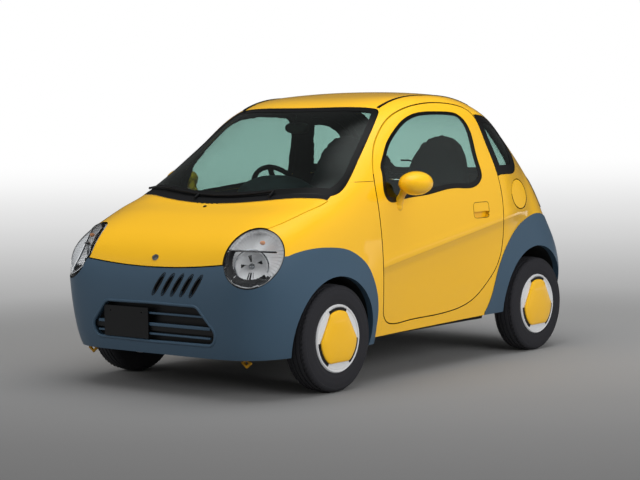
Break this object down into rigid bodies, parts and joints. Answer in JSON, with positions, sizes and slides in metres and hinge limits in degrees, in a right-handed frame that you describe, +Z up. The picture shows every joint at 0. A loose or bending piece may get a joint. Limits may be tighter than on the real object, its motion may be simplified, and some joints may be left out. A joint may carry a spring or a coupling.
{
  "type": "two-seat microcar",
  "caption": "Two-seat three-door microcar with a rounded cabin, dark bumpers that run up into wheel flares, egg-shaped headlamps and three-cornered wheel caps.",
  "frame": {"origin": "on the ground under the middle of the car's length and width", "axes": "+X forward, +Y to the car's left, +Z up"},
  "size_m": [2.7353, 1.764, 1.4507],
  "materials": {
    "body_paint": "golden yellow gloss paint",
    "bumper_plastic": "slate grey satin plastic",
    "black_plastic": "black moulded plastic",
    "glass_green": "tinted window glass",
    "lamp_lens": "clear lamp lens over a reflector",
    "lamp_red": "red lamp lens",
    "tyre_rubber": "black tyre rubber",
    "wheel_silver": "silver painted wheel trim",
    "steel": "plain steel",
    "iron": "dark cast iron",
    "underbody": "black sealed underbody",
    "seat_cloth": "dark seat cloth",
    "dash_plastic": "dark grained dashboard plastic",
    "hook_paint": "yellow painted steel"
  },
  "bodies": {
    "body": {"front_bumper": "bumper_plastic", "rear_bumper": "bumper_plastic", "fender_left": "body_paint", "fender_right": "body_paint", "cowl": "black_plastic", "windscreen": "glass_green", "roof": "body_paint", "body_side_left": "body_paint", "body_side_right": "body_paint", "rear_panel": "body_paint", "quarter_windows": "glass_green", "headlamps": "lamp_lens", "tail_lamps": "lamp_red", "floor_pan": "underbody", "front_frame": "underbody", "front_housings": "underbody", "rear_housings": "underbody", "rear_lining": "dash_plastic", "engine": "iron", "fuel_tank": "black_plastic", "seat_left": "seat_cloth", "seat_right": "seat_cloth", "dashboard": "dash_plastic", "filler_cap": "black_plastic", "grille": "black_plastic", "front_board": "black_plastic", "rear_board": "black_plastic", "exhaust": "steel", "tow_hooks": "hook_paint", "inner_mirror": "black_plastic", "front_subframe": "underbody", "rear_axle": "underbody"},
    "steer_left": {"knuckle_left": "iron"},
    "steer_right": {"knuckle_right": "iron"},
    "steering": {"steering_wheel": "dash_plastic"},
    "wheel_front_left": {"tyre_front_left": "tyre_rubber", "wheel_front_left": "wheel_silver", "hubcap_front_left": "body_paint"},
    "wheel_front_right": {"tyre_front_right": "tyre_rubber", "wheel_front_right": "wheel_silver", "hubcap_front_right": "body_paint"},
    "wheel_rear_left": {"tyre_rear_left": "tyre_rubber", "wheel_rear_left": "wheel_silver", "hubcap_rear_left": "body_paint"},
    "wheel_rear_right": {"tyre_rear_right": "tyre_rubber", "wheel_rear_right": "wheel_silver", "hubcap_rear_right": "body_paint"},
    "door_left": {"door_left": "body_paint", "door_glass_left": "glass_green", "mirror_left": "body_paint"},
    "door_right": {"door_right": "body_paint", "door_glass_right": "glass_green", "mirror_right": "body_paint"},
    "bonnet": {"bonnet": "body_paint"},
    "tailgate": {"hatch_frame": "black_plastic", "hatch_glass": "glass_green"},
    "fuel_lid": {"fuel_lid": "body_paint"}
  },
  "joints": [
    {"name": "steer_left_turn", "type": "hinge", "parent": "body", "child": "steer_left", "pos_m": [0.8225, 0.612, 0.182], "axis": [0, -0.1985, 0.9801], "range_deg": [-35, 35]},
    {"name": "steer_right_turn", "type": "hinge", "parent": "body", "child": "steer_right", "pos_m": [0.8225, -0.612, 0.182], "axis": [0, 0.1985, 0.9801], "range_deg": [-35, 35]},
    {"name": "steering_turn", "type": "hinge", "parent": "body", "child": "steering", "pos_m": [0, -0.34, 0.889], "axis": [-0.9063, 0, 0.4226], "range_deg": [-560, 560]},
    {"name": "wheel_front_left_spin", "type": "hinge", "parent": "steer_left", "child": "wheel_front_left", "pos_m": [0.8225, 0.655, 0.2604], "axis": [0, 1, 0], "continuous": true},
    {"name": "wheel_front_right_spin", "type": "hinge", "parent": "steer_right", "child": "wheel_front_right", "pos_m": [0.8225, -0.655, 0.2604], "axis": [0, 1, 0], "continuous": true},
    {"name": "wheel_rear_left_spin", "type": "hinge", "parent": "body", "child": "wheel_rear_left", "pos_m": [-0.9775, 0.645, 0.2604], "axis": [0, 1, 0], "continuous": true},
    {"name": "wheel_rear_right_spin", "type": "hinge", "parent": "body", "child": "wheel_rear_right", "pos_m": [-0.9775, -0.645, 0.2604], "axis": [0, 1, 0], "continuous": true},
    {"name": "door_left_swing", "type": "hinge", "parent": "body", "child": "door_left", "pos_m": [0.4485, 0.7265, 0.6], "axis": [0, 0, -1], "range_deg": [0, 65]},
    {"name": "door_right_swing", "type": "hinge", "parent": "body", "child": "door_right", "pos_m": [0.4485, -0.7265, 0.6], "axis": [0, 0, 1], "range_deg": [0, 65]},
    {"name": "bonnet_lift", "type": "hinge", "parent": "body", "child": "bonnet", "pos_m": [0.757, 0, 0.925], "axis": [0, -1, 0], "range_deg": [0, 50]},
    {"name": "tailgate_lift", "type": "hinge", "parent": "body", "child": "tailgate", "pos_m": [-0.69, 0, 1.4165], "axis": [0, 1, 0], "range_deg": [0, 75]},
    {"name": "fuel_lid_swing", "type": "hinge", "parent": "body", "child": "fuel_lid", "pos_m": [-0.7605, 0.7005, 0.88], "axis": [0, 0, -1], "range_deg": [0, 80]}
  ],
  "couplings": [
    {"joint": "steer_right_turn", "follows": "steer_left_turn", "ratio": 1},
    {"joint": "steering_turn", "follows": "steer_left_turn", "ratio": 16}
  ]
}
